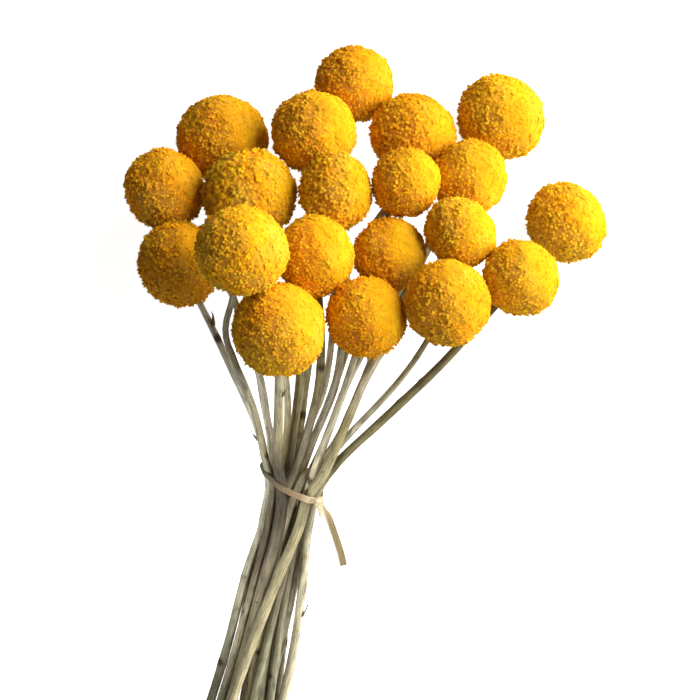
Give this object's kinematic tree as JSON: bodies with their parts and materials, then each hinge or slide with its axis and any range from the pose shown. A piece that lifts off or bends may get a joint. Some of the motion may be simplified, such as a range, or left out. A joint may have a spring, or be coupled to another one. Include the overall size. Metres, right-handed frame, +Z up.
{
  "type": "dried billy buttons bunch",
  "caption": "Dried billy buttons: a bunch of round golden flower heads on long bare stems, tied at the waist with a strip of raffia and laid down.",
  "frame": {"origin": "on the table, under the middle of the box of the bunch as it lies", "axes": "+Y along the bunch from the cut ends to the heads, +X across it to the right when seen from above with the heads away from the viewer, +Z up from the table"},
  "size_m": [0.1944, 0.4228, 0.0934],
  "materials": {
    "florets": "matt dry florets, golden yellow on top, orange in the shade and dark orange between them",
    "stalk": "dry ridged stalk, grey green, olive and beige, with fine streaks",
    "raffia": "satin fibrous strip, tan, cream at the knot",
    "dry_leaf": "dry papery brown"
  },
  "bodies": {
    "root": {"head_01": "florets", "head_02": "florets", "head_03": "florets", "head_04": "florets", "head_05": "florets", "head_06": "florets", "head_07": "florets", "head_08": "florets", "head_09": "florets", "head_10": "florets", "head_11": "florets", "head_12": "florets", "head_13": "florets", "head_14": "florets", "head_15": "florets", "head_16": "florets", "head_17": "florets", "head_18": "florets", "head_19": "florets", "head_20": "florets", "stem_01": "stalk", "stem_02": "stalk", "stem_03": "stalk", "stem_04": "stalk", "stem_05": "stalk", "stem_06": "stalk", "stem_07": "stalk", "stem_08": "stalk", "stem_09": "stalk", "stem_10": "stalk", "stem_11": "stalk", "stem_12": "stalk", "stem_13": "stalk", "stem_14": "stalk", "stem_15": "stalk", "stem_16": "stalk", "stem_17": "stalk", "stem_18": "stalk", "stem_19": "stalk", "stem_20": "stalk", "leaf_scale_01": "dry_leaf", "leaf_scale_02": "dry_leaf", "leaf_scale_03": "dry_leaf", "leaf_scale_04": "dry_leaf", "leaf_scale_05": "dry_leaf", "leaf_scale_06": "dry_leaf", "leaf_scale_07": "dry_leaf", "leaf_scale_08": "dry_leaf", "leaf_scale_09": "dry_leaf", "raffia_tie": "raffia"}
  },
  "joints": []
}
